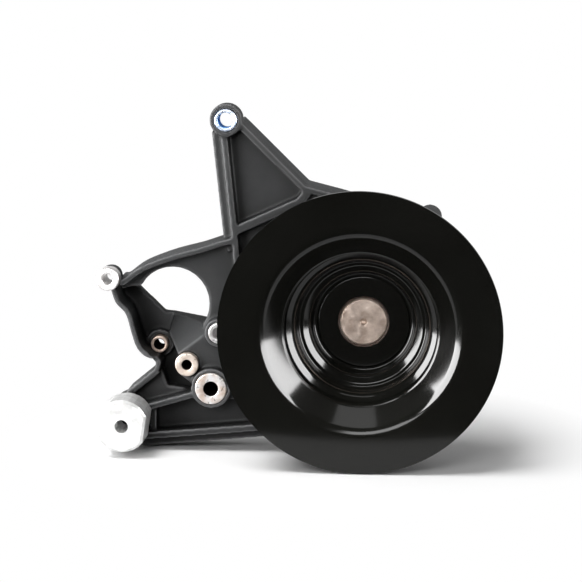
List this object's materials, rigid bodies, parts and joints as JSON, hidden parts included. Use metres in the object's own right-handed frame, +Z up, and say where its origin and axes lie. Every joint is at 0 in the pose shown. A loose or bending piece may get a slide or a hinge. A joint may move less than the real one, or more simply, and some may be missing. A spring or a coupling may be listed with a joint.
{
  "type": "belt tensioner idler",
  "caption": "Cast bracket with bushed bolt holes that carries a deep-dished, gloss-black belt pulley on a sealed ball bearing; the pulley spins freely.",
  "frame": {"origin": "where the pulley's axis meets the bracket's flat rear face", "axes": "+Y out of the rear face towards the engine, the pulley faces -Y; +X to the right seen from the pulley's side; +Z up"},
  "size_m": [0.2649, 0.0939, 0.2292],
  "materials": {
    "casting": "satin charcoal coating over a fine cast grain",
    "black_paint": "high-gloss black paint on pressed steel",
    "zinc": "bright zinc plate with a blue cast",
    "steel": "bare turned steel, slightly warm",
    "aluminium": "machined, near white",
    "bearing_steel": "ground and polished",
    "rubber": "matte",
    "cage": "glass-filled nylon"
  },
  "bodies": {
    "bracket": {"bracket_casting": "casting", "top_bushing": "zinc", "left_bushing": "aluminium", "small_sleeve": "steel", "middle_sleeve": "steel", "large_sleeve": "steel", "inner_bushing": "aluminium", "right_bushing": "steel", "dowel_sleeve_1": "steel", "dowel_sleeve_2": "steel", "aluminium_standoff": "aluminium", "bearing_outer_ring": "bearing_steel", "front_seal": "rubber", "rear_seal": "rubber", "retaining_ring": "bearing_steel"},
    "pulley": {"pulley_rim": "black_paint", "pulley_dish": "black_paint", "pulley_cup": "black_paint", "pulley_hub": "black_paint", "bearing_shaft": "steel", "slinger": "steel"},
    "front_row": {"front_ball_cage": "cage", "front_ball_1": "bearing_steel", "front_ball_2": "bearing_steel", "front_ball_3": "bearing_steel", "front_ball_4": "bearing_steel", "front_ball_5": "bearing_steel", "front_ball_6": "bearing_steel", "front_ball_7": "bearing_steel", "front_ball_8": "bearing_steel"},
    "rear_row": {"rear_ball_cage": "cage", "rear_ball_1": "bearing_steel", "rear_ball_2": "bearing_steel", "rear_ball_3": "bearing_steel", "rear_ball_4": "bearing_steel", "rear_ball_5": "bearing_steel", "rear_ball_6": "bearing_steel", "rear_ball_7": "bearing_steel", "rear_ball_8": "bearing_steel"}
  },
  "joints": [
    {"name": "pulley_spin", "type": "hinge", "parent": "bracket", "child": "pulley", "pos_m": [0, -0.0459, 0], "axis": [0, 1, 0], "continuous": true},
    {"name": "front_row_orbit", "type": "hinge", "parent": "bracket", "child": "front_row", "pos_m": [0, -0.0305, 0], "axis": [0, 1, 0], "continuous": true},
    {"name": "rear_row_orbit", "type": "hinge", "parent": "bracket", "child": "rear_row", "pos_m": [0, -0.014, 0], "axis": [0, 1, 0], "continuous": true}
  ],
  "couplings": [
    {"joint": "front_row_orbit", "follows": "pulley_spin", "ratio": 0.37903},
    {"joint": "rear_row_orbit", "follows": "pulley_spin", "ratio": 0.37903}
  ]
}
